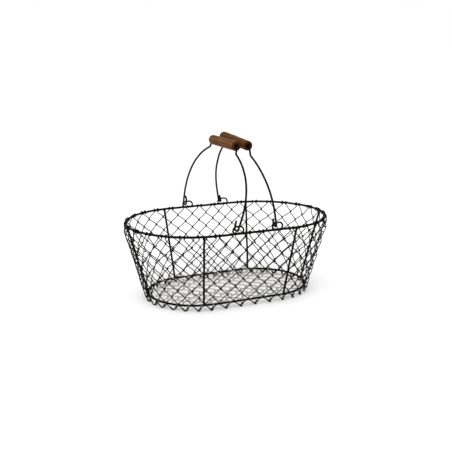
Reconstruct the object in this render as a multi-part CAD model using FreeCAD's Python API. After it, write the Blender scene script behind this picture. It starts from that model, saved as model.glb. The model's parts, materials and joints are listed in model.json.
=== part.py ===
"""Oval wire egg basket with two swinging bails and turned wooden grips.

Millimetres. +Z is up, +X runs along the oval and +Y to the back. The origin is on the floor under the middle
of the basket, which stands on the lowest tips of its chain-link wall.
"""
import FreeCAD, Part
import math
import os

Vector = FreeCAD.Vector

# --- frame: two oval hoops joined by straight ribs --------------------------------------------------------
rim_half_straight = 63.5      # straight side of the top rim, half its length
rim_end_radius = 114.5        # the rim's round ends, which are also half its width
ring_half_straight = 60.0     # the same two sizes on the bottom ring
ring_end_radius = 83.0
wall_height = 124.0           # bottom ring's centre line to the rim's
rim_radius = 2.0              # rod radii
ring_radius = 1.9
rib_radius = 1.8
rib_shares = (0.077, 0.235, 0.408)    # three ribs as shares of the way round; the others are opposite

# --- eyes: closed loops welded inside the long sides of the rim, which carry the bails ---------------------
eye_radius = 1.5              # wire
eye_width = 18.7              # centre line of the wire
eye_height = 11.0
eye_corner = 4.4
eye_shoulder = 6.6            # the two rounded upper corners
weld_bite = 0.3               # how far a welded wire is let into what it is welded to
hinge_half_span = 35.3        # the bails' hinge lines, left and right of the middle
eye_shift = 5.0               # each eye's middle is this far to the right of its hinge line

# --- bails ------------------------------------------------------------------------------------------------
bail_radius = 1.5
hook_lift = 2.1               # play between a hook and the rim under it
hook_play = 1.1               # play between a hook's free leg and the eye
hook_tip = 14.5               # length of that leg
hook_corner = 3.0
bail_reach = 129.0            # hinge line to the bar that holds the grip
neck_corner = 4.0
neck_gap = 1.3                # between the end of a grip and the bail's neck
right_tilt = 8.6              # degrees that the right bail leans inwards where it is stored
# The two bails are bent by hand and differ. Each has its hooks' width, its widest place as (half width, height
# above the hinge line, bend radius), its shoulder as (half width, depth below the bar, bend radius), the depth
# of its neck below the bar, and the slope of the bar in degrees, which raises its back end.
left_shape = {
    "hook_width": 12.8,
    "widest": (134.0, 60.5, 73.0),
    "shoulder": (84.0, 25.0, 120.0),
    "neck_drop": 10.5,
    "bar_slope": 0.0,
}
right_shape = {
    "hook_width": 10.4,
    "widest": (117.7, 52.4, 85.0),
    "shoulder": (80.6, 32.7, 120.0),
    "neck_drop": 15.8,
    "bar_slope": 3.3,
}

# --- grips ------------------------------------------------------------------------------------------------
grip_length = 101.0
grip_radius = 8.6
grip_bore_radius = 3.4
grip_edge = 2.6               # rounding of the ends
grips_apart = 3.9             # between the middles of the two grips where they hang side by side

# --- chain-link mesh --------------------------------------------------------------------------------------
mesh_radius = 0.6             # wire
coil_depth = 4.8              # outer strands to inner strands, centre to centre
link_bend = 2.1               # bend radius where two spirals link
wall_pairs = 34               # pairs of spirals round the wall
wall_levels = 10              # bends in each wall spiral from its tip up, and an even number
link_play = 0.5               # where two spirals meet, from the line between them to the inside of each bend
mesh_clearance = 0.3          # mesh to the ribs and the ring that it is stretched round
wrap_clearance = 0.1          # mesh to the hoop that it is hooked over
tip_drop = 6.8                # tips below the bottom ring's centre line
lowest_link = 4.5             # lowest row of links above that line
first_level_drop = 15.7       # rim's centre line down to the highest row of links
hook_spread = 3.0             # hooks on the rim, left and right of the place where two spirals meet
hook_lead = 2.0               # straight rise before a hook
hook_lead_bend = 1.5
hook_tail = 0.4               # how far a hook reaches down inside the rim
tail_length = 6.0             # knuckled ends at the tips, along the wire
floor_pairs = 9               # pairs of spirals across the floor
floor_end_gap = 10.7          # between the last floor spiral and the end of the ring
floor_level = 12.5            # strand length of a floor spiral, along Y
floor_margin = 6.0            # least distance from a floor link to the ring
floor_lap = 1.0               # how far the ends of the floor wires pass the ring's centre line
halvings = 40                 # steps of the search for the place where a floor wire meets the ring

# --- wire paths -------------------------------------------------------------------------------------------
bend_share = 0.999            # most of a run that its two bends may take up
straight_half_angle = 89.9    # degrees, beyond which a corner counts as straight
shortest_run = 1e-4

# --- worked out -------------------------------------------------------------------------------------------
rim_turn = math.pi * rim_end_radius
rim_length = 4.0 * rim_half_straight + 2.0 * rim_turn
half_depth = coil_depth / 2.0
wall_lean = math.atan2(rim_end_radius - ring_end_radius, wall_height)
inside_mesh = max(rib_radius, ring_radius)                             # the thicker of what the mesh goes round
wall_gap = inside_mesh + mesh_clearance + mesh_radius + half_depth     # ribs' centre lines to the mesh's middle
spiral_width = rim_length / (2 * wall_pairs)
link_reach = mesh_radius + link_play                                   # a bend's wire beyond the line of links
floor_pitch = (ring_half_straight + ring_end_radius - floor_end_gap) / floor_pairs      # a floor spiral's width
eye_inset = rim_radius + eye_radius - weld_bite
eye_line = rim_end_radius - eye_inset                                  # distance of the eyes from the XZ plane
rim_wrap = max(rim_radius, rib_radius) + wrap_clearance + mesh_radius  # path of a hook round the rim
ring_wrap = ring_radius + wrap_clearance + mesh_radius
hook_inner = eye_line - eye_radius - hook_play - bail_radius           # the same to the hooks' free legs
neck_half = grip_length / 2.0 + neck_gap + bail_radius
between_grips = 2.0 * grip_radius + grips_apart
hinge_z = wall_height + rim_radius + hook_lift + bail_radius


# --- wire work --------------------------------------------------------------------------------------------
def corner_half_angle(before, corner, after):
    return (before - corner).getAngle(after - corner) / 2.0


def limited_radii(points, radii):
    """The bend radii, made smaller where two bends would not fit on the run between them."""
    trims = [0.0]
    for before, corner, after, radius in zip(points, points[1:], points[2:], radii):
        trims.append(radius / math.tan(corner_half_angle(before, corner, after)))
    trims.append(0.0)
    shares = []
    for here, there, trim, next_trim in zip(points, points[1:], trims, trims[1:]):
        shares.append(min(1.0, bend_share * here.distanceToPoint(there) / max(trim + next_trim, 1e-9)))
    return [radius * min(pair) for radius, pair in zip(radii, zip(shares, shares[1:]))]


def bent_path(points, radii):
    """Edges of straight runs through the points, with a tangent arc of the given radius at each inner point."""
    edges = []
    start = points[0]
    for before, corner, after, radius in zip(points, points[1:], points[2:], limited_radii(points, radii)):
        back = (before - corner).normalize()
        ahead = (after - corner).normalize()
        half_angle = corner_half_angle(before, corner, after)
        if half_angle > math.radians(straight_half_angle):
            continue
        trim = radius / math.tan(half_angle)
        middle = (back + ahead).normalize()
        centre = corner + middle * (radius / math.sin(half_angle))
        arc_start = corner + back * trim
        arc_end = corner + ahead * trim
        if arc_start.distanceToPoint(start) > shortest_run:
            edges.append(Part.LineSegment(start, arc_start).toShape())
        edges.append(Part.Arc(arc_start, centre - middle * radius, arc_end).toShape())
        start = arc_end
    if start.distanceToPoint(points[-1]) > shortest_run:
        edges.append(Part.LineSegment(start, points[-1]).toShape())
    return edges


def rod(edges, radius):
    """A round rod along a chain of tangent edges."""
    start = edges[0].valueAt(edges[0].FirstParameter)
    heading = edges[0].tangentAt(edges[0].FirstParameter)
    section = Part.Wire(Part.Circle(start, heading, radius).toShape())
    return Part.Wire(edges).makePipeShell([section], True, True)


def bent_rod(points, radii, radius):
    return rod(bent_path(points, radii), radius)


def hoop(half_straight, end_radius, height, radius):
    """A closed oval rod, lying level."""
    signs = ((-1, -1), (1, -1), (1, 1), (-1, 1))
    corners = [Vector(sign_x * half_straight, sign_y * end_radius, height) for sign_x, sign_y in signs]
    right = Vector(half_straight + end_radius, 0, height)
    left = Vector(-half_straight - end_radius, 0, height)
    halves = (
        [Part.LineSegment(corners[0], corners[1]), Part.Arc(corners[1], right, corners[2])],
        [Part.LineSegment(corners[2], corners[3]), Part.Arc(corners[3], left, corners[0])],
    )
    rods = [rod([curve.toShape() for curve in half], radius) for half in halves]
    return rods[0].fuse(rods[1]).removeSplitter()


# --- places on the wall -----------------------------------------------------------------------------------
def station(travel):
    """(share of the straight side, angle) at a distance along the rim from the middle of its front to +X."""
    travel = (travel + rim_half_straight) % rim_length - rim_half_straight
    if travel <= rim_half_straight:
        return travel / rim_half_straight, -math.pi / 2.0
    travel -= rim_half_straight
    if travel <= rim_turn:
        return 1.0, travel / rim_end_radius - math.pi / 2.0
    travel -= rim_turn
    if travel <= 2.0 * rim_half_straight:
        return 1.0 - travel / rim_half_straight, math.pi / 2.0
    travel -= 2.0 * rim_half_straight
    return -1.0, travel / rim_end_radius + math.pi / 2.0


def wall_point(travel, height, depth=0.0, along=0.0):
    """A point on the ribs' surface, moved outward by depth at right angles to the wall, and along it."""
    share, angle = station(travel)
    level = height / wall_height
    straight = ring_half_straight + level * (rim_half_straight - ring_half_straight)
    reach = ring_end_radius + level * (rim_end_radius - ring_end_radius) + depth * math.cos(wall_lean)
    x = share * straight + reach * math.cos(angle) - along * math.sin(angle)
    y = reach * math.sin(angle) + along * math.cos(angle)
    return Vector(x, y, height - depth * math.sin(wall_lean))


def rim_point(travel, out, up):
    """A point beside the rim: out from its centre line and up from it."""
    share, angle = station(travel)
    reach = rim_end_radius + out
    x = share * rim_half_straight + reach * math.cos(angle)
    return Vector(x, reach * math.sin(angle), wall_height + up)


# --- frame pieces -----------------------------------------------------------------------------------------
def make_top_rim():
    return hoop(rim_half_straight, rim_end_radius, wall_height, rim_radius)


def make_bottom_ring():
    return hoop(ring_half_straight, ring_end_radius, 0.0, ring_radius)


def make_rib(travel, rim, ring):
    """A rib between the hoops' centre lines, its ends coped to seat on them."""
    foot = wall_point(travel, 0.0)
    head = wall_point(travel, wall_height)
    whole = Part.makeCylinder(rib_radius, foot.distanceToPoint(head), foot, head - foot)
    pieces = whole.cut(rim.fuse(ring)).Solids
    return max(pieces, key=lambda piece: piece.Volume)


def make_eye(middle_x, side, rim):
    """A D-shaped loop standing beside the rim and seated on it."""
    half = eye_width / 2.0

    def at(x, z):
        return Vector(middle_x + x, side * eye_line, wall_height + z)

    points = [at(0, 0), at(half, 0), at(half, eye_height), at(-half, eye_height), at(-half, 0), at(0, 0)]
    loop = bent_rod(points, [eye_corner, eye_shoulder, eye_shoulder, eye_corner], eye_radius)
    return loop.cut(rim)


# --- bails and grips --------------------------------------------------------------------------------------
def grip_places():
    """X and Z of the two grips' middles: the right one leans by right_tilt and the left one hangs beside it."""
    tilt = math.radians(right_tilt)
    right = (hinge_half_span - bail_reach * math.sin(tilt), hinge_z + bail_reach * math.cos(tilt))
    dx = right[0] + hinge_half_span
    dz = right[1] - hinge_z
    apart = math.hypot(dx, dz)
    turn = math.acos((apart ** 2 + bail_reach ** 2 - between_grips ** 2) / (2.0 * apart * bail_reach))
    lean = math.atan2(dx, dz) - turn
    left = (bail_reach * math.sin(lean) - hinge_half_span, hinge_z + bail_reach * math.cos(lean))
    return {"left": left, "right": right}


def bail_line(side):
    """X of a bail's hinge line, and the direction from that line up to the bar."""
    hinge_x = -hinge_half_span if side == "left" else hinge_half_span
    grip_x, grip_z = grip_places()[side]
    return hinge_x, Vector(grip_x - hinge_x, 0, grip_z - hinge_z).normalize()


def make_bail(side, shape):
    """One bail: a hook at each end, wide arch, shoulders and the straight bar that holds the grip."""
    hinge_x, along = bail_line(side)
    shoulder_width, shoulder_depth, shoulder_bend = shape["shoulder"]

    def half(end):
        """Points and bend radii from a hook's tip to the bar; end is -1 at the front and 1 at the back."""
        bar_reach = bail_reach + end * neck_half * math.tan(math.radians(shape["bar_slope"]))
        outline = [
            (hook_inner, hook_tip, 0.0),
            (hook_inner, 0.0, hook_corner),
            (hook_inner + shape["hook_width"], 0.0, hook_corner),
            shape["widest"],
            (shoulder_width, bail_reach - shoulder_depth, shoulder_bend),
            (neck_half, bar_reach - shape["neck_drop"], neck_corner),
            (neck_half, bar_reach, neck_corner),
        ]
        hinge = Vector(hinge_x, 0, hinge_z)
        points = [hinge + Vector(0, end * width, 0) + along * distance for width, distance, bend in outline]
        return points, [bend for width, distance, bend in outline[1:]]

    front_points, front_radii = half(-1)
    back_points, back_radii = half(1)
    return bent_rod(front_points + back_points[::-1], front_radii + back_radii[::-1], bail_radius)


def make_grip(side, shape):
    """A turned wooden sleeve that spins on the bail's bar."""
    grip_x, grip_z = grip_places()[side]
    slope = math.radians(shape["bar_slope"])
    axis = Vector(0, math.cos(slope), 0) + bail_line(side)[1] * math.sin(slope)
    start = Vector(grip_x, 0, grip_z) - axis * (grip_length / 2.0)
    body = Part.makeCylinder(grip_radius, grip_length, start, axis)
    body = body.makeFillet(grip_edge, [edge for edge in body.Edges if edge.isClosed()])
    return body.cut(Part.makeCylinder(grip_bore_radius, grip_length, start, axis))


# --- wall mesh --------------------------------------------------------------------------------------------
def level_height(level):
    """Height of a row of bends above the ring's centre line: the tips, then evenly spaced rows of links."""
    if level == 0:
        return -tip_drop
    highest = wall_height - first_level_drop
    return lowest_link + (level - 1) * (highest - lowest_link) / (wall_levels - 2)


def under_an_eye(travel):
    """Whether a hook here would come down inside the rim where an eye is welded."""
    place = rim_point(travel, 0.0, 0.0)
    reach = eye_width / 2.0 + eye_radius + 2.0 * mesh_radius
    return any(abs(place.x - middle) < reach for middle in eye_middles)


def rim_hook(travel):
    """The end of a wall wire: straight up outside the rim, over it and down inside."""
    rise = [rim_point(travel, rim_wrap, -hook_lead), rim_point(travel, rim_wrap, rim_wrap)]
    if under_an_eye(travel):
        return rise + [rim_point(travel, 0.0, rim_wrap)], [hook_lead_bend, rim_wrap]
    over = [rim_point(travel, -rim_wrap, rim_wrap), rim_point(travel, -rim_wrap, -hook_tail)]
    return rise + over, [hook_lead_bend, rim_wrap, rim_wrap]


def make_wall_spiral(index):
    """A flattened spiral in the wall: knuckled at its tip, linked to its neighbours and hooked on the rim."""
    left_edge = (index + 1) * spiral_width
    right_edge = left_edge + spiral_width
    outer = wall_gap + half_depth
    inner = wall_gap - half_depth

    def at_left(level):
        return (level + index) % 2 == 0

    def link(level):
        """The two corners of the bend at one level, in the order in which the rising wire meets them."""
        travel, along = (left_edge, -link_reach) if at_left(level) else (right_edge, link_reach)
        depths = (outer, inner) if at_left(level) else (inner, outer)
        return [wall_point(travel, level_height(level), depth, along) for depth in depths]

    tip = link(0)
    if at_left(0):
        beyond = wall_point(left_edge - spiral_width, level_height(1), outer, -3.0 * link_reach)
    else:
        beyond = wall_point(right_edge + spiral_width, level_height(1), inner, 3.0 * link_reach)
    tail_end = tip[0] + (beyond - tip[0]).normalize() * tail_length

    points = [tail_end]
    for level in range(wall_levels):
        points += link(level)
    radii = [link_bend] * (2 * wall_levels)
    peak = left_edge + hook_spread if at_left(wall_levels) else right_edge - hook_spread
    hook, hook_radii = rim_hook(peak)
    return bent_rod(points + hook, radii + hook_radii, mesh_radius)


# --- floor mesh -------------------------------------------------------------------------------------------
def ring_distance(point):
    """How far a point lies outside the bottom ring's centre line, seen from above."""
    return math.hypot(max(abs(point.x) - ring_half_straight, 0.0), point.y) - ring_end_radius


def near_a_rib(end):
    """Whether a wire that ends here, on top of the ring, would meet the foot of a rib."""
    room = rib_radius + mesh_radius + mesh_clearance + floor_lap
    return any(end.distanceToPoint(foot + Vector(0, 0, ring_wrap)) < room for foot in rib_feet)


def floor_end(corner, towards):
    """Where a floor wire ends: across the ring, over or under it, or just short of it beside a rib's foot."""
    over = corner.z > 0.0
    beyond = corner + (towards - corner) * (ring_end_radius / floor_level)
    inside, outside = 0.0, 1.0

    def at(share):
        point = corner + (beyond - corner) * share
        point.z = ring_wrap if over else -ring_wrap
        return point

    for _ in range(halvings):
        share = (inside + outside) / 2.0
        if ring_distance(at(share)) > floor_lap:
            outside = share
        else:
            inside = share
    end = at(inside)
    if over and near_a_rib(end):
        end = end - (end - corner).normalize() * (floor_lap + ring_radius + rib_radius + mesh_radius)
    return end


def make_floor_spiral(index):
    """A flattened spiral lying in the floor, from the front of the ring to the back."""
    left_edge = (index - floor_pairs) * floor_pitch
    edges = (left_edge - link_reach, left_edge + floor_pitch + link_reach)

    def edge_at(level):
        return edges[(level + index) % 2]

    def fits(level):
        return ring_distance(Vector(edge_at(level), level * floor_level, 0)) < -floor_margin

    def link(level):
        x = edge_at(level)
        heights = (half_depth, -half_depth) if x == edges[0] else (-half_depth, half_depth)
        return [Vector(x, level * floor_level, z) for z in heights]

    last = 0
    while fits(last + 1) and fits(-last - 1):
        last += 1
    points = []
    for level in range(-last, last + 1):
        points += link(level)
    before = Vector(edge_at(-last - 1), (-last - 1) * floor_level, points[0].z)
    after = Vector(edge_at(last + 1), (last + 1) * floor_level, points[-1].z)
    ends = [floor_end(points[0], before), floor_end(points[-1], after)]
    return bent_rod([ends[0]] + points + [ends[1]], [link_bend] * len(points), mesh_radius)


# --- the whole basket -------------------------------------------------------------------------------------
half_way = rim_length / 2.0
rib_names = ("front_right", "right_end", "back_right", "back_left", "left_end", "front_left")
rib_travels = [share * rim_length + turn * half_way for turn in (0, 1) for share in rib_shares]
rib_feet = [wall_point(travel, 0.0) for travel in rib_travels]
eye_middles = (eye_shift - hinge_half_span, eye_shift + hinge_half_span)


def make_parts():
    rim = make_top_rim()
    ring = make_bottom_ring()
    parts = {"top_rim": rim, "bottom_ring": ring}
    for name, travel in zip(rib_names, rib_travels):
        parts["rib_" + name] = make_rib(travel, rim, ring)
    for middle, hand in zip(eye_middles, ("left", "right")):
        for side, place in ((-1, "front"), (1, "back")):
            parts["eye_" + place + "_" + hand] = make_eye(middle, side, rim)
    for side, shape in (("left", left_shape), ("right", right_shape)):
        parts[side + "_bail"] = make_bail(side, shape)
        parts[side + "_grip"] = make_grip(side, shape)
    for pair in range(wall_pairs):
        spirals = [make_wall_spiral(2 * pair - 1), make_wall_spiral(2 * pair)]
        parts["wall_mesh_%02d" % (pair + 1)] = Part.makeCompound(spirals)
    for pair in range(floor_pairs):
        spirals = [make_floor_spiral(2 * pair), make_floor_spiral(2 * pair + 1)]
        parts["floor_mesh_%02d" % (pair + 1)] = Part.makeCompound(spirals)
    return parts


def main():
    os.makedirs("parts", exist_ok=True)
    parts = make_parts()
    lowest = min(shape.optimalBoundingBox(False, False).ZMin for shape in parts.values())
    for name, shape in parts.items():
        shape.translate(Vector(0, 0, -lowest))
        shape.exportStep("parts/" + name + ".step")
    print("ring centre line at z %.3f" % -lowest)
    print("rim centre line at z %.3f" % (wall_height - lowest))
    print("hinge lines at x +-%.3f, z %.3f" % (hinge_half_span, hinge_z - lowest))
    for side, (x, z) in grip_places().items():
        hinge_x = -hinge_half_span if side == "left" else hinge_half_span
        lean = math.degrees(math.atan2(x - hinge_x, z - hinge_z))
        print("%s grip at x %.3f, z %.3f, its bail leaning %.3f degrees" % (side, x, z - lowest, lean))


main()
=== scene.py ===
"""Looks of an oval wire egg basket with two swinging bails and turned wooden grips.

Lengths are in millimetres until a mesh is made. +Z is up, +X runs along the oval and +Y to the back.
"""
import json
import math

import bpy
import numpy as np
from mathutils import Matrix, Vector

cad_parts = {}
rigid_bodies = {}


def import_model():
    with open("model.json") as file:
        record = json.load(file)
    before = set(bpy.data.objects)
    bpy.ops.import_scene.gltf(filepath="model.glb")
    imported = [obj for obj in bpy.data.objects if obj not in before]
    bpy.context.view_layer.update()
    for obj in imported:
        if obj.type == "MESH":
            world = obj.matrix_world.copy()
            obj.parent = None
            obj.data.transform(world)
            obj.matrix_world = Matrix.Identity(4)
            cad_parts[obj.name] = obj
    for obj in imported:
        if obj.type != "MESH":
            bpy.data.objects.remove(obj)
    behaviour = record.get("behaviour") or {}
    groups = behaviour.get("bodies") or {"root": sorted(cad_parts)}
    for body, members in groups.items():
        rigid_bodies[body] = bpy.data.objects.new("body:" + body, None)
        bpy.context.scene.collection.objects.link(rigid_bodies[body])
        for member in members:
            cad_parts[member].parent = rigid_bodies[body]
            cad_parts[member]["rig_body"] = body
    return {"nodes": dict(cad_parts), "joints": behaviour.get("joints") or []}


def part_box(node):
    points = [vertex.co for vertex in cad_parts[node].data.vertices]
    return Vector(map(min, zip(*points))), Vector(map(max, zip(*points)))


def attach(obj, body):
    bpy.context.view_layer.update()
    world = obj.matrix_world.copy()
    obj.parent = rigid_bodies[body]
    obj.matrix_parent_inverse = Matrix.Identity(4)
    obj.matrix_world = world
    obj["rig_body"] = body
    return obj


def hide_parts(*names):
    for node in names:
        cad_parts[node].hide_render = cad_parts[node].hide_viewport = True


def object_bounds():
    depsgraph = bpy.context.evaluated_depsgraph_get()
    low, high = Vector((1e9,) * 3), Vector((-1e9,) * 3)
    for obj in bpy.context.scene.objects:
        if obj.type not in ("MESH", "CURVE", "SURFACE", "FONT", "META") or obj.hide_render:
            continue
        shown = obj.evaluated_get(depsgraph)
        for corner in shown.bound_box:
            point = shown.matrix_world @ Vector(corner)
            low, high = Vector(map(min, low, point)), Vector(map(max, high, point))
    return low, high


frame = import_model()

MM = 0.001
cad_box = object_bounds()
cad_low, cad_high = (np.array(corner) / MM for corner in cad_box)


# --- sizes read from the frame ----------------------------------------------------------------------------
def node_box(name):
    low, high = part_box(name)
    return np.array(low) / MM, np.array(high) / MM


def hoop_sizes(name):
    """Rod radius, height, end radius and half straight of a level oval hoop."""
    low, high = node_box(name)
    radius = (high[2] - low[2]) / 2.0
    return radius, (high[2] + low[2]) / 2.0, high[1] - radius, high[0] - high[1]


rim_radius, rim_z, rim_end_radius, rim_half_straight = hoop_sizes("top_rim")
ring_radius, ring_z, ring_end_radius, ring_half_straight = hoop_sizes("bottom_ring")
wall_height = rim_z - ring_z
hinges = {joint["child"]: np.array(joint["pos_m"]) / MM for joint in frame["joints"]}
hinge_axes = {joint["child"]: np.array(joint["axis"]) for joint in frame["joints"]}
wall_pairs = sum(name.startswith("wall_mesh") for name in frame["nodes"])
floor_pairs = sum(name.startswith("floor_mesh") for name in frame["nodes"])

# --- sizes of the wires, as in the frame where nothing else is said ----------------------------------------
rib_radius = 1.8
rib_shares = (0.077, 0.235, 0.408)
eye_radius = 1.5
eye_corner = 4.4
eye_shoulder = 6.6
bail_radius = 1.5
hook_play = 1.1
hook_tip = 14.5
hook_corner = 3.0
neck_corner = 4.0
neck_gap = 1.3
# The widest place is (half width, height above the hinge line, bend radius), and the shoulder is (half width,
# depth below the bar, bend radius).
bail_shapes = {
    "left_bail": {
        "hook_width": 12.8,
        "widest": (134.0, 60.5, 73.0),
        "shoulder": (84.0, 25.0, 120.0),
        "neck_drop": 12.5,        # 2 mm longer than in the frame
        "leg_cut": 0.0,           # how much shorter the hooks' free legs are than in the frame
        "pinches": (0.0, 9.0),    # how far the front and back hooks' tips are bent over towards the arch
    },
    "right_bail": {
        "hook_width": 10.4,
        "widest": (117.7, 52.4, 85.0),
        "shoulder": (80.6, 32.7, 120.0),
        "neck_drop": 15.8,
        "leg_cut": 3.0,
        "pinches": (1.5, 3.5),
    },
}
grip_bore_radius = 3.4
grip_edge = 2.6
mesh_radius = 0.6
wall_wire_radius = 0.78       # the wall's wires are made 0.18 mm thicker than in the frame
thick_bail_radius = 1.72      # and the bails 0.22 mm thicker
wall_levels = 10
first_level_drop = 15.7
tip_drop = 6.8
lowest_link = 4.5
link_reach = 1.1
link_bend = 2.1
coil_depth = 4.8
inner_depth = 2.8             # inner strands outside the ribs' centre lines
rim_wrap = 2.7                # path of a wire that is wound round the rim, from its centre line
ring_wrap = 2.6               # the same round the ring
hook_spread = 3.0
tail_length = 8.5             # blunt ends at the tips, 2.5 mm longer than in the frame
floor_level = 12.5
floor_end_gap = 10.7
floor_margin = 6.0

rim_turn = math.pi * rim_end_radius
rim_length = 4.0 * rim_half_straight + 2.0 * rim_turn
edges = 2 * wall_pairs
spiral_width = rim_length / edges
wall_lean = math.atan2(rim_end_radius - ring_end_radius, wall_height)
floor_pitch = (ring_half_straight + ring_end_radius - floor_end_gap) / floor_pairs

# --- how finely things are made, and how uneven they are --------------------------------------------------
wire_sides = 14               # of bails, ribs and eyes
mesh_sides = 8
mesh_run_step = 5.0           # longest run between two places on a mesh wire's path
mesh_arc_step = 22.0          # degrees of a mesh wire's bends between two places
hoop_waver = 0.16             # how far hand-bent wire strays from its path
rib_waver = 0.14
eye_waver = 0.12
floor_waver = 0.15


# --- paths ------------------------------------------------------------------------------------------------
def unit(vector):
    return vector / np.linalg.norm(vector)


def half_angle_at(before, corner, after):
    cosine = unit(before - corner) @ unit(after - corner)
    return 0.5 * math.acos(max(-1.0, min(1.0, cosine)))


def bent_path(points, radii, run_step=4.0, arc_step=15.0):
    """Places along straight runs joined by tangent arcs, which are made smaller where two would not fit."""
    points = [np.array(point, float) for point in points]
    halves = [half_angle_at(*three) for three in zip(points, points[1:], points[2:])]
    trims = [0.0] + [radius / math.tan(half) for radius, half in zip(radii, halves)] + [0.0]
    runs = [np.linalg.norm(there - here) for here, there in zip(points, points[1:])]
    fits = [min(1.0, 0.98 * run / max(a + b, 1e-6)) for run, a, b in zip(runs, trims, trims[1:])]
    path = [points[0]]
    for index, half in enumerate(halves):
        corner = points[index + 1]
        radius = radii[index] * min(fits[index], fits[index + 1])
        trim = radius / math.tan(half)
        back = unit(points[index] - corner)
        ahead = unit(points[index + 2] - corner)
        centre = corner + unit(back + ahead) * (radius / math.sin(half))
        turn = math.pi - 2.0 * half
        steps = max(2, math.ceil(math.degrees(turn) / arc_step))
        spoke = unit(corner + back * trim - centre)
        for angle in np.linspace(0.0, turn, steps + 1):
            path.append(centre + radius * (math.cos(angle) * spoke - math.sin(angle) * back))
    path.append(points[-1])
    return spread(path, run_step)


def spread(path, step):
    """The same path with no run longer than step and no repeated places."""
    out = [path[0]]
    for place in path[1:]:
        run = np.linalg.norm(place - out[-1])
        if run < 1e-3:
            continue
        start = out[-1]
        count = max(1, math.ceil(run / step))
        out += [start + (place - start) * (part + 1) / count for part in range(count)]
    return np.array(out)


def kept_inside(path, radius):
    """The path, moved where needed so that its wire stays in the frame's box and above the floor."""
    return np.clip(path, cad_low + radius, cad_high - radius)


def distances(path):
    steps = np.linalg.norm(np.diff(path, axis=0), axis=1)
    return np.concatenate([[0.0], np.cumsum(steps)])


def waver(path, seed, size, wavelength, closed=False):
    """The path with small smooth bends in it, as hand-made wire has."""
    rng = np.random.default_rng(seed)
    along = distances(path)
    if closed:
        whole = along[-1] + np.linalg.norm(path[0] - path[-1])
        wavelength = whole / max(1, round(whole / wavelength))
    offsets = np.zeros_like(path)
    for octave in (1, 2, 3):
        phase = rng.uniform(0.0, 2.0 * math.pi, 3)
        offsets += size / octave * np.sin(2.0 * math.pi * octave * along[:, None] / wavelength + phase)
    return path + offsets


# --- shells: vertices and faces of closed forms -------------------------------------------------------------
def tube(path, radius, sides=8, closed=False):
    """A round wire along a path. Open ends are cut blunt, with a small chamfer."""
    path = np.array(path, float)
    radii = np.array(np.broadcast_to(radius, len(path)), float)
    if closed:
        tangents = np.roll(path, -1, axis=0) - np.roll(path, 1, axis=0)
    else:
        first = unit(path[0] - path[1])
        last = unit(path[-1] - path[-2])
        chamfer = 0.3
        path = np.vstack([path[0] + first * chamfer * radii[0], path, path[-1] + last * chamfer * radii[-1]])
        radii = np.concatenate([[radii[0] * (1.0 - chamfer)], radii, [radii[-1] * (1.0 - chamfer)]])
        tangents = np.gradient(path, axis=0)
    tangents /= np.linalg.norm(tangents, axis=1)[:, None]
    normal = unit(np.cross(tangents[0], (0.31, 0.17, 0.93)))
    angles = np.arange(sides) * 2.0 * math.pi / sides
    vertices = []
    for place, tangent, radius_here in zip(path, tangents, radii):
        normal = unit(normal - tangent * (normal @ tangent))
        other = np.cross(tangent, normal)
        circle = np.outer(np.cos(angles), normal) + np.outer(np.sin(angles), other)
        vertices.append(place + radius_here * circle)
    rings = len(path)
    faces = []
    for ring in range(rings if closed else rings - 1):
        following = (ring + 1) % rings
        for side in range(sides):
            beside = (side + 1) % sides
            faces.append((
                ring * sides + side, ring * sides + beside,
                following * sides + beside, following * sides + side,
            ))
    if not closed:
        faces.append(tuple(range(sides))[::-1])
        faces.append(tuple((rings - 1) * sides + side for side in range(sides)))
    return np.vstack(vertices), faces


def bead(centre, size, seed, along=(0.0, 0.0, 1.0)):
    """A small uneven lump of weld or knotted wire. Its size is (across, along)."""
    rng = np.random.default_rng(seed)
    rows, columns = 9, 14
    axis = unit(np.array(along, float))
    side = unit(np.cross(axis, (0.31, 0.17, 0.93)))
    other = np.cross(axis, side)
    phases = rng.uniform(0.0, 2.0 * math.pi, 4)
    vertices = [-axis * size[1]]
    for row in range(1, rows):
        polar = math.pi * row / rows
        for column in range(columns):
            turn = 2.0 * math.pi * column / columns
            lump = 1.0 + 0.09 * math.sin(2.0 * turn + phases[0] + polar)
            lump += 0.07 * math.sin(3.0 * polar + phases[1])
            lump += 0.05 * math.sin(5.0 * turn + phases[2]) * math.sin(4.0 * polar + phases[3])
            out = (math.cos(turn) * side + math.sin(turn) * other) * math.sin(polar) * size[0]
            vertices.append((out - axis * math.cos(polar) * size[1]) * lump)
    vertices.append(axis * size[1])
    faces = [(0, 1 + (column + 1) % columns, 1 + column) for column in range(columns)]
    for row in range(rows - 2):
        for column in range(columns):
            beside = (column + 1) % columns
            low, high = 1 + row * columns, 1 + (row + 1) * columns
            faces.append((low + column, low + beside, high + beside, high + column))
    top = len(vertices) - 1
    start = 1 + (rows - 2) * columns
    faces += [(top, start + column, start + (column + 1) % columns) for column in range(columns)]
    return np.array(vertices) + np.array(centre), faces


def make_piece(name, shells, material, node, origin=(0.0, 0.0, 0.0), axis=(0.0, 1.0, 0.0)):
    """One visible piece made of shells about its origin, turned so that its Y runs along the axis.

    It stands for a CAD node and rides on that node's body.
    """
    vertices, faces, count = [], [], 0
    for shell_vertices, shell_faces in shells:
        vertices.append(shell_vertices)
        faces += [tuple(index + count for index in face) for face in shell_faces]
        count += len(shell_vertices)
    mesh = bpy.data.meshes.new(name)
    mesh.from_pydata((np.vstack(vertices) * MM).tolist(), [], faces)
    mesh.shade_smooth()
    mesh.materials.append(material)
    piece = bpy.data.objects.new(name, mesh)
    piece.location = Vector(origin) * MM
    piece.rotation_mode = "QUATERNION"
    piece.rotation_quaternion = Vector((0.0, 1.0, 0.0)).rotation_difference(Vector(axis))
    bpy.context.scene.collection.objects.link(piece)
    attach(piece, frame["nodes"][node]["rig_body"])
    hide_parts(node)
    return piece


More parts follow.
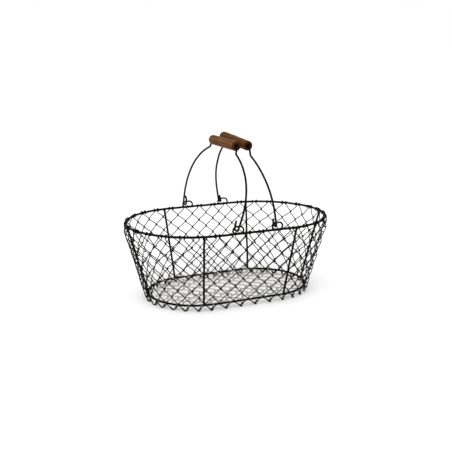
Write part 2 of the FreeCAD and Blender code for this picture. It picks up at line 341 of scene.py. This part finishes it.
# --- materials --------------------------------------------------------------------------------------------
class Material:
    """A Principled material and short ways to add nodes to it."""

    def __init__(self, name):
        self.material = bpy.data.materials.new(name)
        self.material.use_nodes = True
        self.tree = self.material.node_tree
        self.shader = self.tree.nodes["Principled BSDF"]
        self.place = self.tree.nodes.new("ShaderNodeTexCoord").outputs["Object"]

    def link(self, source, target):
        self.tree.links.new(source, target)

    def stretched(self, scale, place=None):
        """Object coordinates, stretched."""
        mapping = self.tree.nodes.new("ShaderNodeMapping")
        mapping.inputs["Scale"].default_value = scale
        self.link(place or self.place, mapping.inputs["Vector"])
        return mapping.outputs["Vector"]

    def noise(self, scale, detail=4.0, roughness=0.55, distortion=0.0, place=None):
        node = self.tree.nodes.new("ShaderNodeTexNoise")
        node.inputs["Scale"].default_value = scale
        node.inputs["Detail"].default_value = detail
        node.inputs["Roughness"].default_value = roughness
        node.inputs["Distortion"].default_value = distortion
        self.link(place or self.place, node.inputs["Vector"])
        return node.outputs["Fac"]

    def rings(self, scale, distortion, place):
        """Growth rings about the long axis."""
        node = self.tree.nodes.new("ShaderNodeTexWave")
        node.wave_type = "RINGS"
        node.rings_direction = "Y"
        node.inputs["Scale"].default_value = scale
        node.inputs["Distortion"].default_value = distortion
        node.inputs["Detail"].default_value = 3.0
        node.inputs["Detail Scale"].default_value = 1.2
        self.link(place, node.inputs["Vector"])
        return node.outputs["Fac"]

    def ramp(self, value, stops):
        """Colours at places from 0 to 1."""
        node = self.tree.nodes.new("ShaderNodeValToRGB")
        elements = node.color_ramp.elements
        while len(elements) < len(stops):
            elements.new(0.5)
        for element, (position, colour) in zip(elements, stops):
            element.position = position
            element.color = (*colour, 1.0)
        self.link(value, node.inputs["Fac"])
        return node.outputs["Color"]

    def mapped(self, value, low, high, to_low=0.0, to_high=1.0):
        node = self.tree.nodes.new("ShaderNodeMapRange")
        node.inputs["From Min"].default_value = low
        node.inputs["From Max"].default_value = high
        node.inputs["To Min"].default_value = to_low
        node.inputs["To Max"].default_value = to_high
        self.link(value, node.inputs["Value"])
        return node.outputs["Result"]

    def maths(self, operation, first, second):
        node = self.tree.nodes.new("ShaderNodeMath")
        node.operation = operation
        for socket, value in zip(node.inputs, (first, second)):
            if isinstance(value, (int, float)):
                socket.default_value = value
            else:
                self.link(value, socket)
        return node.outputs["Value"]

    def mix(self, factor, first, second, kind="MIX"):
        node = self.tree.nodes.new("ShaderNodeMix")
        node.data_type = "RGBA"
        node.blend_type = kind
        factor_socket, first_socket, second_socket = node.inputs[0], node.inputs[6], node.inputs[7]
        for socket, value in ((factor_socket, factor), (first_socket, first), (second_socket, second)):
            if isinstance(value, (int, float)):
                socket.default_value = value
            elif isinstance(value, tuple):
                socket.default_value = (*value, 1.0)
            else:
                self.link(value, socket)
        return node.outputs[2]

    def bump(self, height, strength, distance):
        node = self.tree.nodes.new("ShaderNodeBump")
        node.inputs["Strength"].default_value = strength
        node.inputs["Distance"].default_value = distance
        self.link(height, node.inputs["Height"])
        self.link(node.outputs["Normal"], self.shader.inputs["Normal"])

    def colour(self, value):
        self.link(value, self.shader.inputs["Base Color"])

    def roughness(self, value):
        self.link(value, self.shader.inputs["Roughness"])


def iron_material(name, dark, brown, rust, rust_from, smooth, rough):
    """Blackened iron wire: uneven scale, freckles of brown rust and a faint satin shine."""
    look = Material(name)
    patches = look.noise(170.0, detail=5.0, roughness=0.6)
    freckles = look.noise(900.0, detail=6.0, roughness=0.7)
    fine = look.noise(3200.0, detail=3.0)
    base = look.ramp(patches, ((0.35, dark), (0.68, brown)))
    rusty = look.mapped(freckles, rust_from, rust_from + 0.1)
    look.colour(look.mix(rusty, base, rust))
    sheen = look.mapped(freckles, 0.3, 0.7, smooth, rough)
    look.roughness(look.maths("ADD", sheen, look.maths("MULTIPLY", rusty, 0.2)))
    look.bump(look.maths("ADD", freckles, look.maths("MULTIPLY", fine, 0.5)), 0.55, 0.00012)
    look.shader.inputs["Specular IOR Level"].default_value = 0.05
    return look.material


def wood_material(name, dark, middle, light, end_colour, ring_shift):
    """Oiled turned wood with long grain, darker end grain, handling marks and painted shade inside the bore.
    """
    look = Material(name)
    grain_place = look.stretched((1.0, 0.045, 1.0))
    streaks = look.noise(520.0, detail=7.0, roughness=0.62, distortion=0.6, place=grain_place)
    fibres = look.noise(2600.0, detail=4.0, roughness=0.7, place=grain_place)
    blotches = look.noise(95.0, detail=3.0, place=look.stretched((1.0, 0.35, 1.0)))
    shifted = look.tree.nodes.new("ShaderNodeMapping")
    shifted.inputs["Location"].default_value = ring_shift
    shifted.inputs["Scale"].default_value = (1.0, 0.12, 1.0)
    look.link(look.place, shifted.inputs["Vector"])
    growth = look.rings(150.0, 2.4, shifted.outputs["Vector"])

    tone = look.maths("ADD", look.maths("MULTIPLY", streaks, 0.6), look.maths("MULTIPLY", growth, 0.28))
    tone = look.maths("ADD", tone, look.maths("MULTIPLY", fibres, 0.16))
    body = look.ramp(tone, ((0.34, dark), (0.55, middle), (0.78, light)))
    stained = look.mix(look.mapped(blotches, 0.45, 0.75, 0.0, 0.55), body, dark)

    apart = look.tree.nodes.new("ShaderNodeSeparateXYZ")
    look.link(look.place, apart.inputs["Vector"])
    across, along, up = apart.outputs
    from_middle = look.maths("ABSOLUTE", along, 0.0)
    from_axis = look.maths("POWER", look.maths("ADD", look.maths("MULTIPLY", across, across),
                                               look.maths("MULTIPLY", up, up)), 0.5)
    uneven = look.maths("MULTIPLY", look.noise(420.0), 0.0024)
    reach = look.maths("ADD", from_middle, uneven)
    ends = look.mapped(reach, (grip_half - 2.0) * MM, (grip_half + 1.4) * MM)
    end_grain = look.mix(look.mapped(growth, 0.2, 0.9, 0.0, 0.5), end_colour, dark)
    coloured = look.mix(ends, stained, end_grain)
    # Painted shade: the bore's walls and the edge round it are darkened almost to black, as shade falls
    # inside the hole.
    bore = look.mapped(from_axis, (grip_bore_radius + 1.5) * MM, (grip_bore_radius - 0.2) * MM)
    painted_bore_shade = look.maths("MULTIPLY", bore, 0.85)
    look.colour(look.mix(painted_bore_shade, coloured, (0.006, 0.0025, 0.0012)))

    worn = look.mapped(blotches, 0.3, 0.7, 0.34, 0.52)
    look.roughness(look.maths("ADD", worn, look.maths("MULTIPLY", ends, 0.25)))
    pores = look.maths("ADD", look.maths("MULTIPLY", streaks, 0.7), look.maths("MULTIPLY", fibres, 0.5))
    look.bump(pores, 0.5, 0.00025)
    look.shader.inputs["Specular IOR Level"].default_value = 0.02
    return look.material


grip_low, grip_high = node_box("left_grip")
grip_half = (grip_high[1] - grip_low[1]) / 2.0
grip_radius = (grip_high[0] - grip_low[0]) / 2.0

frame_iron = iron_material(
    "blackened_rod", dark=(0.0016, 0.0009, 0.0004), brown=(0.007, 0.0036, 0.0014),
    rust=(0.028, 0.0115, 0.0035), rust_from=0.64, smooth=0.42, rough=0.64,
)
bail_iron = iron_material(
    "handled_wire", dark=(0.0018, 0.0011, 0.0006), brown=(0.007, 0.004, 0.0019),
    rust=(0.026, 0.012, 0.0045), rust_from=0.66, smooth=0.34, rough=0.55,
)
mesh_iron = iron_material(
    "dull_mesh_wire", dark=(0.0012, 0.0009, 0.0006), brown=(0.005, 0.0036, 0.0024),
    rust=(0.018, 0.0095, 0.0045), rust_from=0.6, smooth=0.45, rough=0.65,
)
# The floor wires are the same dark iron as the wall's, but their base colours are painted far lighter. This
# is painted light, as if the wires were lit from above. Only the rust freckles are the wire's own colour.
floor_iron_painted_lit = iron_material(
    "rusty_floor_wire_painted_lit", dark=(0.2, 0.188, 0.17), brown=(0.42, 0.4, 0.37),
    rust=(0.12, 0.085, 0.06), rust_from=0.64, smooth=0.36, rough=0.55,
)
woods = {
    "left_grip": wood_material(
        "pale_worn_wood", dark=(0.05, 0.017, 0.0035), middle=(0.122, 0.046, 0.0105),
        light=(0.195, 0.085, 0.023), end_colour=(0.04, 0.0115, 0.002), ring_shift=(0.019, 0.0, -0.011),
    ),
    "right_grip": wood_material(
        "red_worn_wood", dark=(0.042, 0.0115, 0.0015), middle=(0.108, 0.037, 0.0045),
        light=(0.175, 0.07, 0.01), end_colour=(0.036, 0.0095, 0.0015), ring_shift=(-0.016, 0.0, -0.013),
    ),
}


# --- places on the wall -----------------------------------------------------------------------------------
def station(travel):
    """(share of the straight side, angle) at a distance along the rim from the middle of its front to +X."""
    travel = (travel + rim_half_straight) % rim_length - rim_half_straight
    if travel <= rim_half_straight:
        return travel / rim_half_straight, -math.pi / 2.0
    travel -= rim_half_straight
    if travel <= rim_turn:
        return 1.0, travel / rim_end_radius - math.pi / 2.0
    travel -= rim_turn
    if travel <= 2.0 * rim_half_straight:
        return 1.0 - travel / rim_half_straight, math.pi / 2.0
    travel -= 2.0 * rim_half_straight
    return -1.0, travel / rim_end_radius + math.pi / 2.0


def roundness(travel):
    """0 on the straight sides and 1 at the tips of the round ends."""
    return math.cos(station(travel)[1]) ** 2


def wall_point(travel, height, depth=0.0, along=0.0):
    """A point on the ribs' surface, moved outward by depth at right angles to the wall, and along it."""
    share, angle = station(travel)
    level = height / wall_height
    straight = ring_half_straight + level * (rim_half_straight - ring_half_straight)
    reach = ring_end_radius + level * (rim_end_radius - ring_end_radius) + depth * math.cos(wall_lean)
    x = share * straight + reach * math.cos(angle) - along * math.sin(angle)
    y = reach * math.sin(angle) + along * math.cos(angle)
    return np.array((x, y, ring_z + height - depth * math.sin(wall_lean)))


def rim_point(travel, out, up):
    """A point beside the rim: out from its centre line and up from it."""
    share, angle = station(travel)
    reach = rim_end_radius + out
    x = share * rim_half_straight + reach * math.cos(angle)
    return np.array((x, reach * math.sin(angle), rim_z + up))


# --- frame pieces -----------------------------------------------------------------------------------------
def hoop_path(half_straight, end_radius, height, step=3.0):
    """A closed oval, starting at the middle of its back."""
    turn = math.pi * end_radius
    whole = 4.0 * half_straight + 2.0 * turn
    count = round(whole / step)
    path = []
    for index in range(count):
        travel = index * whole / count
        if travel < half_straight:
            x, y = -travel, end_radius
        elif travel < half_straight + turn:
            angle = math.pi / 2.0 + (travel - half_straight) / end_radius
            x, y = -half_straight + end_radius * math.cos(angle), end_radius * math.sin(angle)
        elif travel < 3.0 * half_straight + turn:
            x, y = -half_straight + travel - half_straight - turn, -end_radius
        elif travel < 3.0 * half_straight + 2.0 * turn:
            angle = (travel - 3.0 * half_straight - turn) / end_radius - math.pi / 2.0
            x, y = half_straight + end_radius * math.cos(angle), end_radius * math.sin(angle)
        else:
            x, y = whole - travel, end_radius
        path.append((x, y, height))
    return np.array(path)


def make_hoop(node, half_straight, end_radius, height, radius, weld_x, seed):
    """A hoop bent from one rod, its ends butted and welded at the back."""
    path = waver(hoop_path(half_straight, end_radius, height), seed, hoop_waver, 90.0, closed=True)
    path[:, 2] = np.clip(path[:, 2], height - 0.2, height)
    swell = 1.0 - 0.035 * (0.5 + 0.5 * np.sin(np.arange(len(path)) * 1.7 + seed))
    weld = bead((weld_x, end_radius, height), (radius * 1.12, radius * 1.5), seed + 1, along=(1.0, 0.0, 0.0))
    shells = [tube(path, radius * swell, sides=16, closed=True), weld]
    make_piece(node + "_rod", shells, frame_iron, node)


def make_rib(node, travel, seed):
    """A straight rib with a bead of weld at each end."""
    foot = wall_point(travel, 0.0)
    head = wall_point(travel, wall_height)
    along = unit(head - foot)
    path = waver(spread([foot, head], 4.0), seed, rib_waver, 60.0)
    welds = [
        bead(foot + along * (ring_radius + 0.5), (rib_radius * 1.25, 1.7), seed + 1, along),
        bead(head - along * (rim_radius + 0.5), (rib_radius * 1.25, 1.9), seed + 2, along),
    ]
    shells = [tube(path, rib_radius, sides=wire_sides)] + welds
    make_piece(node + "_rod", shells, frame_iron, node)


def make_eye(node, seed):
    """A D-shaped loop of wire, welded inside the rim."""
    low, high = node_box(node)
    y = (low[1] + high[1]) / 2.0
    x_low, x_high = low[0] + eye_radius, high[0] - eye_radius
    top = high[2] - eye_radius
    middle = (x_low + x_high) / 2.0
    points = [
        (middle, y, rim_z), (x_high, y, rim_z), (x_high, y, top),
        (x_low, y, top), (x_low, y, rim_z), (middle - 0.2, y, rim_z),
    ]
    path = bent_path(points, (eye_corner, eye_shoulder, eye_shoulder, eye_corner), run_step=1.5, arc_step=8.0)
    path = waver(path, seed, eye_waver, 22.0)
    side = 1.0 if y > 0.0 else -1.0
    weld_y = y + side * eye_radius
    welds = [
        bead((x, weld_y, rim_z - 0.4), (1.2, 2.6), seed + place, along=(1.0, 0.0, 0.0))
        for place, x in enumerate((x_low + 3.2, x_high - 3.2))
    ]
    shells = [tube(path, eye_radius * 0.98, sides=wire_sides)] + welds
    make_piece(node + "_wire", shells, frame_iron, node)


# --- bails and grips --------------------------------------------------------------------------------------
def grip_middle(side):
    low, high = node_box(side + "_grip")
    return (low + high) / 2.0


def make_bail(side, seed):
    """One bail: a hook at each end, wide arch, shoulders and the straight bar that holds the grip."""
    node = side + "_bail"
    shape = bail_shapes[node]
    hinge = hinges[node]
    middle = grip_middle(side)
    along = unit(middle - hinge)
    reach = np.linalg.norm(middle - hinge)
    axis = hinge_axes[side + "_grip"]
    slope = (axis @ along) / axis[1]
    eye_low, eye_high = node_box("eye_back_left")
    hook_inner = (eye_low[1] + eye_high[1]) / 2.0 - eye_radius - hook_play - bail_radius
    neck_half = grip_half + neck_gap + bail_radius
    shoulder_width, shoulder_depth, shoulder_bend = shape["shoulder"]

    def half(end):
        """Points and bend radii from a hook's tip to the bar; end is -1 at the front and 1 at the back."""
        bar_reach = reach + end * neck_half * slope
        outline = [
            (hook_inner, hook_tip - shape["leg_cut"], 0.0),
            (hook_inner, 0.0, hook_corner),
            (hook_inner + shape["hook_width"], 0.0, hook_corner),
            shape["widest"],
            (shoulder_width, reach - shoulder_depth, shoulder_bend),
            (neck_half, bar_reach - shape["neck_drop"], neck_corner),
            (neck_half, bar_reach, neck_corner),
        ]
        across = np.array((0.0, end, 0.0))
        points = [hinge + across * width + along * distance for width, distance, bend in outline]
        return points, [bend for width, distance, bend in outline[1:]]

    front_points, front_radii = half(-1)
    back_points, back_radii = half(1)
    points = front_points + back_points[::-1]
    path = bent_path(points, front_radii + back_radii[::-1], run_step=3.0, arc_step=4.0)
    for tip, pinch in zip((front_points[0], back_points[0]), shape["pinches"]):
        path = pinched_hook(path, tip, along, pinch)
    path = kept_inside(path, thick_bail_radius)
    shells = [tube(path, thick_bail_radius, sides=wire_sides)]
    make_piece(node + "_wire", shells, bail_iron, node)


def pinched_hook(path, tip, along, pinch):
    """The path with the free leg of the hook that ends at the tip bent over towards the arch."""
    out = path.copy()
    height = (path - tip) @ along
    off_leg = np.linalg.norm(path - tip - np.outer(height, along), axis=1)
    on_leg = (off_leg < 1.0) & (height < 1.0)
    share = np.clip((height + hook_tip) / hook_tip, 0.0, 1.0) * on_leg
    out[:, 1] += math.copysign(pinch, tip[1]) * share ** 3
    return out


def make_grip(side, seed):
    """A turned wooden sleeve, slightly barrelled, with eased ends and a drilled bore."""
    node = side + "_grip"
    sectors = 72
    barrel = 0.22                 # how much thinner the ends are than the middle
    bore_edge = 0.7
    dent_depth = 0.045
    one_end = [(grip_half - bore_edge, grip_bore_radius), (grip_half, grip_bore_radius + bore_edge)]
    one_end += [(grip_half, radius) for radius in (4.9, 5.6)]
    for angle in np.linspace(0.0, math.pi / 2.0, 9):
        y = grip_half - grip_edge + grip_edge * math.cos(angle)
        one_end.append((y, grip_radius - barrel - grip_edge + grip_edge * math.sin(angle)))
    body_half = grip_half - grip_edge - 2.0
    body = [
        (y, grip_radius - barrel * (y / grip_half) ** 2 - 0.02)
        for y in np.linspace(body_half, -body_half, 44)
    ]
    other_end = [(-y, radius) for y, radius in reversed(one_end)]
    bore = [(y, grip_bore_radius) for y in np.linspace(-grip_half + 4.0, grip_half - 4.0, 12)]
    profile = one_end + body + other_end + bore
    rng = np.random.default_rng(seed)
    phases = rng.uniform(0.0, 2.0 * math.pi, 5)
    vertices = []
    for y, radius in profile:
        for sector in range(sectors):
            angle = 2.0 * math.pi * sector / sectors
            outer = min(1.0, max(0.0, (radius - 6.0) / 2.0))
            dent = math.sin(2.0 * angle + 0.05 * y + phases[0]) + math.sin(3.0 * angle - 0.11 * y + phases[1])
            dent += 0.7 * math.sin(0.21 * y + phases[2]) + 0.6 * math.sin(5.0 * angle + 0.3 * y + phases[3])
            here = radius - outer * dent_depth * (dent + 3.3)
            vertices.append((here * math.cos(angle), y, here * math.sin(angle)))
    rows = len(profile)
    faces = []
    for row in range(rows):
        following = (row + 1) % rows
        for sector in range(sectors):
            beside = (sector + 1) % sectors
            faces.append((
                row * sectors + sector, following * sectors + sector,
                following * sectors + beside, row * sectors + beside,
            ))
    shell = (np.array(vertices), faces)
    middle, axis = grip_middle(side), hinge_axes[node]
    make_piece(node + "_wood", [shell], woods[node], node, origin=middle, axis=axis)


# --- wall mesh --------------------------------------------------------------------------------------------
# Sideways drift of the mesh at the rim, as (travel, drift) all the way round. It fades out down to the ring.
rim_drift = (
    (0.0, -3.4), (43.0, -7.5), (120.0, -7.0), (240.0, -6.0), (350.0, -5.5), (430.0, -5.0),
    (480.0, -9.0), (530.0, -11.0), (620.0, -7.0), (730.0, -1.0), (860.0, 6.0), (930.0, 2.5),
)
back_lift = 5.0               # how much higher the links sit half way up the back
side_jitter = 0.45            # unevenness of the links on the straight sides and at the round ends
end_jitter = 1.5
side_bow = 0.12               # how far the strands bend between links, in the same two places
end_bow = 0.42
end_coil_loss = 1.2           # how much flatter the coils are at the round ends
link_noise = np.random.default_rng(11).uniform(-1.0, 1.0, (edges, wall_levels + 2, 3))


def level_height(level):
    """Height of a row of bends above the ring's centre line: the tips, then evenly spaced rows of links."""
    if level == 0:
        return -tip_drop
    highest = wall_height - first_level_drop
    return lowest_link + (level - 1) * (highest - lowest_link) / (wall_levels - 2)


def link_place(edge, level):
    """Travel, height and depth of the link between two wall spirals."""
    edge %= edges
    travel = edge * spiral_width
    height = level_height(level)
    rise = max(0.0, min(1.0, height / wall_height))
    share, angle = station(travel)
    end = roundness(travel)
    noise = link_noise[edge, level] * (side_jitter + (end_jitter - side_jitter) * end)
    drift = np.interp(travel, *zip(*rim_drift), period=rim_length) * rise
    if level == 0:
        noise = noise * (1.0, 0.0, 0.0)
    back = max(0.0, math.sin(angle))
    height += back_lift * back * math.sin(math.pi * rise) + noise[1]
    middle = inner_depth + coil_depth / 2.0
    return travel + drift + noise[0], height, middle + 0.35 * noise[2] * end * (level > 0)


def coil_half_depth(travel, level):
    lost = end_coil_loss * roundness(travel) * min(1.0, (wall_levels - 1 - level) / 2.0)
    return (coil_depth - lost) / 2.0


def link_corners(edge, level, right_of_spiral):
    """The two corners of a bend, in the order in which the rising wire meets them."""
    travel, height, middle = link_place(edge, level)
    half = coil_half_depth(travel, level)
    middle += half - coil_depth / 2.0
    along = link_reach if right_of_spiral else -link_reach
    depths = (middle - half, middle + half) if right_of_spiral else (middle + half, middle - half)
    return [wall_point(travel, height, depth, along) for depth in depths]


def under_an_eye(travel):
    x = rim_point(travel, 0.0, 0.0)[0]
    reach = eye_radius + 2.0 * mesh_radius
    for hand in ("left", "right"):
        low, high = node_box("eye_front_" + hand)
        if low[0] - reach < x < high[0] + reach:
            return True
    return False


def rim_wraps(travel, hand, seed):
    """A wire end wound round the rim, up outside it, over it, down inside and under it."""
    rng = np.random.default_rng(seed)
    short_turn = 0.27             # the wire only reaches the top of the rim beside an eye
    turns = short_turn if under_an_eye(travel) else rng.uniform(1.0, 1.25)
    lead = 1.5                    # along the rim in one turn
    step = math.radians(24.0)
    places = [rim_point(travel, rim_wrap + 0.1, -4.0)]
    for angle in np.arange(0.0, turns * 2.0 * math.pi, step):
        moved = travel + hand * lead * angle / (2.0 * math.pi)
        places.append(rim_point(moved, rim_wrap * math.cos(angle), rim_wrap * math.sin(angle)))
    return places


def knuckle(start, toward, centre, seed):
    """A wire's tail wound round its neighbour's first strand."""
    rng = np.random.default_rng(seed)
    axis = unit(toward - start)
    side = unit(np.cross(axis, centre))
    other = np.cross(axis, side)
    turns = rng.uniform(1.5, 2.1)
    first = 3.6                   # where the winding begins, along the strand
    lead = 1.5
    coil_radius = 1.28
    places = []
    for turn in np.arange(0.0, turns, 1.0 / 12.0):
        angle = 2.0 * math.pi * turn
        offset = math.cos(angle) * side + math.sin(angle) * other
        places.append(start + axis * (first + lead * turn) + offset * coil_radius)
    return places


def make_wall_spiral(index):
    """A flattened spiral in the wall: knuckled at its tip, linked to its neighbours and wound on the rim."""
    left, right = index + 1, index + 2

    def at_left(level):
        return (level + index) % 2 == 0

    def link(level):
        return link_corners(left, level, False) if at_left(level) else link_corners(right, level, True)

    points = []
    for level in range(wall_levels):
        points += link(level)
    rounder = 1.0 + 0.6 * roundness(left * spiral_width)
    if at_left(0):
        beyond = link_corners(left - 1, 1, False)[0]
        tail = [points[0] + unit(beyond - points[0]) * tail_length]
        tail_radii = [link_bend]
    else:
        neighbour = link_corners(right, 0, False)[1]
        toward = link_corners(right + 1, 1, True)[0]
        outward = np.array((points[0][0], points[0][1], 0.0))
        tail = knuckle(neighbour, toward, unit(outward), 300 + index)[::-1]
        tail_radii = []

    peak_edge = left if at_left(wall_levels) else right
    hand = 1.0 if peak_edge == left else -1.0
    peak = link_place(peak_edge, wall_levels)[0] + hand * hook_spread
    wraps = rim_wraps(peak, hand, 500 + index)
    body = points + wraps[:1]
    radii = [link_bend * rounder] * (len(points) - 1)
    if tail_radii:
        path = bent_path(tail + body, tail_radii + radii, mesh_run_step, mesh_arc_step)
    else:
        path = bent_path(body, radii, mesh_run_step, mesh_arc_step)
        path = np.vstack([tail, path])
    path = np.vstack([path, wraps[1:]])
    bow = side_bow + (end_bow - side_bow) * roundness(left * spiral_width)
    path = kept_inside(waver(path, 900 + index, bow, 24.0), wall_wire_radius)
    return tube(path, wall_wire_radius, sides=mesh_sides)


def make_wall_mesh(pair):
    node = "wall_mesh_%02d" % (pair + 1)
    shells = [make_wall_spiral(2 * pair - 1), make_wall_spiral(2 * pair)]
    make_piece(node + "_wire", shells, mesh_iron, node)


# --- floor mesh -------------------------------------------------------------------------------------------
floor_noise = np.random.default_rng(23).uniform(-1.0, 1.0, (2 * floor_pairs + 1, 41, 2))
floor_jitter = 0.5
floor_sag = 1.6


def ring_distance(x, y):
    """How far a point lies outside the bottom ring's centre line, seen from above."""
    return math.hypot(max(abs(x) - ring_half_straight, 0.0), y) - ring_end_radius


def ring_normal(x, y):
    """The ring's outward direction beside a point."""
    return unit(np.array((math.copysign(max(abs(x) - ring_half_straight, 0.0), x), y, 0.0)))


def floor_link(edge, level, hand, half_depth=coil_depth / 2.0):
    """The two corners of a bend in the floor, in the order in which a wire running to the back meets them."""
    noise = floor_noise[edge, level + 20] * floor_jitter
    x = (edge - floor_pairs) * floor_pitch + noise[0]
    y = level * floor_level + noise[1]
    sag = floor_sag * max(0.0, 1.0 - (y / ring_end_radius) ** 2) * max(0.0, 1.0 - (x / 140.0) ** 2)
    heights = (half_depth, -half_depth) if hand < 0 else (-half_depth, half_depth)
    return [np.array((x + hand * link_reach, y, ring_z - sag + z)) for z in heights]


def ring_hook(corner, toward):
    """A floor wire's end: on to the ring, round its outside and under or over it."""
    over = corner[2] > ring_z - floor_sag
    high = 1.0 if over else -1.0
    inside, outside = 0.0, 6.0
    for halving in range(30):
        share = (inside + outside) / 2.0
        place = corner + (toward - corner) * share
        if ring_distance(place[0], place[1]) > 0.0:
            outside = share
        else:
            inside = share
    crossing = corner + (toward - corner) * inside
    crossing[2] = ring_z
    normal = ring_normal(crossing[0], crossing[1])
    onward = unit((toward - corner) * (1.0, 1.0, 0.0))
    sideways = onward - normal * (onward @ normal)
    places = []
    for angle in np.arange(90.0, -120.0, -20.0):
        turn = math.radians(angle)
        drift = sideways * (90.0 - angle) / 90.0 * 1.2
        out = normal * ring_wrap * math.cos(turn)
        places.append(crossing + out + drift + np.array((0.0, 0.0, high * ring_wrap * math.sin(turn))))
    return places


def make_floor_spiral(index):
    """A flattened spiral lying in the floor, from the front of the ring to the back."""
    def hand(level):
        return -1 if (level + index) % 2 == 0 else 1

    def link(level):
        edge = index if hand(level) < 0 else index + 1
        return floor_link(edge, level, hand(level))

    def fits(level):
        corner = link(level)[0]
        return ring_distance(corner[0], corner[1]) < -floor_margin

    last = 0
    while fits(last + 1) and fits(-last - 1):
        last += 1
    points = []
    for level in range(-last, last + 1):
        points += link(level)
    before = link(-last - 1)[1]
    after = link(last + 1)[0]
    first_hook = ring_hook(points[0], np.array((before[0], before[1], points[0][2])))
    last_hook = ring_hook(points[-1], np.array((after[0], after[1], points[-1][2])))
    body = [first_hook[0]] + points + [last_hook[0]]
    body = bent_path(body, [link_bend] * len(points), mesh_run_step, mesh_arc_step)
    path = np.vstack([first_hook[:0:-1], body, last_hook[1:]])
    return tube(waver(path, 700 + index, floor_waver, 20.0), mesh_radius, sides=mesh_sides)


def make_floor_mesh(pair):
    node = "floor_mesh_%02d" % (pair + 1)
    shells = [make_floor_spiral(2 * pair), make_floor_spiral(2 * pair + 1)]
    make_piece(node + "_wire", shells, floor_iron_painted_lit, node)


# --- build the basket -------------------------------------------------------------------------------------
rib_names = ("front_right", "right_end", "back_right", "back_left", "left_end", "front_left")
rib_travels = [share * rim_length + turn * rim_length / 2.0 for turn in (0, 1) for share in rib_shares]

make_hoop("top_rim", rim_half_straight, rim_end_radius, rim_z, rim_radius, weld_x=-8.0, seed=31)
make_hoop("bottom_ring", ring_half_straight, ring_end_radius, ring_z, ring_radius, weld_x=22.0, seed=41)
for number, (rib_name, rib_travel) in enumerate(zip(rib_names, rib_travels)):
    make_rib("rib_" + rib_name, rib_travel, seed=50 + 3 * number)
for number, place in enumerate(("front_left", "front_right", "back_left", "back_right")):
    make_eye("eye_" + place, seed=80 + 3 * number)
for number, side in enumerate(("left", "right")):
    make_bail(side, seed=100 + number)
    make_grip(side, seed=110 + number)
for pair in range(wall_pairs):
    make_wall_mesh(pair)
for pair in range(floor_pairs):
    make_floor_mesh(pair)


# --- floor, light and camera --------------------------------------------------------------------------------
def make_floor():
    look = Material("pale_floor")
    grain = look.noise(9.0, detail=3.0)
    look.colour(look.ramp(grain, ((0.0, (0.86, 0.86, 0.86)), (1.0, (0.90, 0.90, 0.90)))))
    look.shader.inputs["Roughness"].default_value = 0.85
    look.shader.inputs["Specular IOR Level"].default_value = 0.1
    reach = 30.0
    mesh = bpy.data.meshes.new("floor")
    mesh.from_pydata([(-reach, -reach, 0), (reach, -reach, 0), (reach, reach, 0), (-reach, reach, 0)], [],
                     [(0, 1, 2, 3)])
    mesh.materials.append(look.material)
    floor = bpy.data.objects.new("floor", mesh)
    bpy.context.scene.collection.objects.link(floor)


def add_light(kind, name, energy, towards, **settings):
    """A light far out in the direction of towards, aimed back at the middle of the basket."""
    light = bpy.data.lights.new(name, kind)
    light.energy = energy
    for setting, value in settings.items():
        setattr(light, setting, value)
    holder = bpy.data.objects.new(name, light)
    direction = Vector(towards)
    holder.location = direction + Vector((0.0, 0.0, 0.12))
    holder.rotation_mode = "QUATERNION"
    holder.rotation_quaternion = direction.to_track_quat("Z", "Y")
    bpy.context.scene.collection.objects.link(holder)


def make_lights():
    world = bpy.data.worlds.new("studio")
    world.use_nodes = True
    background = world.node_tree.nodes["Background"]
    background.inputs["Color"].default_value = (1.0, 1.0, 1.0, 1.0)
    background.inputs["Strength"].default_value = 1.0
    bpy.context.scene.world = world
    add_light("SUN", "soft_key", 0.9, (-0.5, -0.7, 1.6), angle=0.7)
    add_light("AREA", "left_softbox", 5.0, (-1.3, -0.9, 1.1), size=0.9)
    bpy.context.scene.view_settings.view_transform = "Standard"


def make_camera():
    azimuth, elevation, roll = (math.radians(angle) for angle in (-24.035, 13.3716, -0.195))
    distance = 1.40249
    aside, raised = -0.00233, 0.10605
    level_back = Vector((math.sin(azimuth), -math.cos(azimuth), 0.0))
    back = level_back * math.cos(elevation) + Vector((0.0, 0.0, math.sin(elevation)))
    level_right = Vector((math.cos(azimuth), math.sin(azimuth), 0.0))
    level_up = back.cross(level_right)
    right = level_right * math.cos(roll) + level_up * math.sin(roll)
    up = level_up * math.cos(roll) - level_right * math.sin(roll)
    camera = bpy.data.cameras.new("camera")
    camera.lens = 62.85
    camera.sensor_width = 36.0
    holder = bpy.data.objects.new("camera", camera)
    turned = Matrix((right, up, back)).transposed().to_4x4()
    place = back * distance + right * aside + up * raised + Vector((0.0, 0.0, ring_z * MM))
    holder.matrix_world = Matrix.Translation(place) @ turned
    bpy.context.scene.collection.objects.link(holder)
    bpy.context.scene.camera = holder


make_floor()
make_lights()
make_camera()
